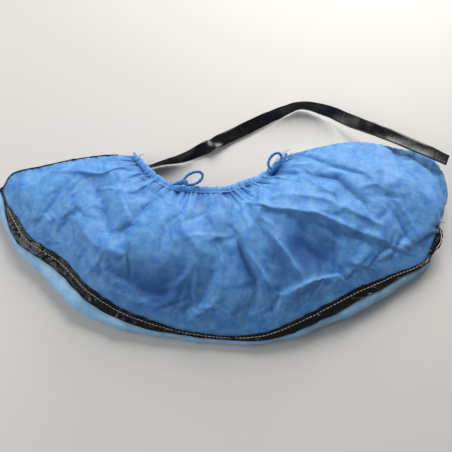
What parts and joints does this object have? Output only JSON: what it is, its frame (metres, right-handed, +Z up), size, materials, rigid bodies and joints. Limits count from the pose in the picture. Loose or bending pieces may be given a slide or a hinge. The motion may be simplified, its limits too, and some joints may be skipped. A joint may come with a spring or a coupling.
{
  "type": "shoe cover",
  "caption": "Disposable blue nonwoven shoe cover with an elastic mouth and a black conductive strip, lying on its side.",
  "frame": {"origin": "on the table, under the middle of the cover as it lies on its side, without the strip's free tail", "axes": "+X from the toe end to the heel end, +Y towards the side of the mouth, +Z up from the table"},
  "size_m": [0.4138, 0.2353, 0.048],
  "materials": {
    "nonwoven": "thin, slightly glossy spunbond",
    "nonwoven_hem": "thin spunbond, densely gathered",
    "conductive_ribbon": "satin",
    "elastic_cord": "braided"
  },
  "bodies": {
    "root": {"near_panel": "nonwoven", "far_panel": "nonwoven", "elastic_hem": "nonwoven_hem", "conductive_strip": "conductive_ribbon", "conductive_tail": "conductive_ribbon", "hem_loop_toe": "elastic_cord", "hem_loop_heel": "elastic_cord"}
  },
  "joints": []
}
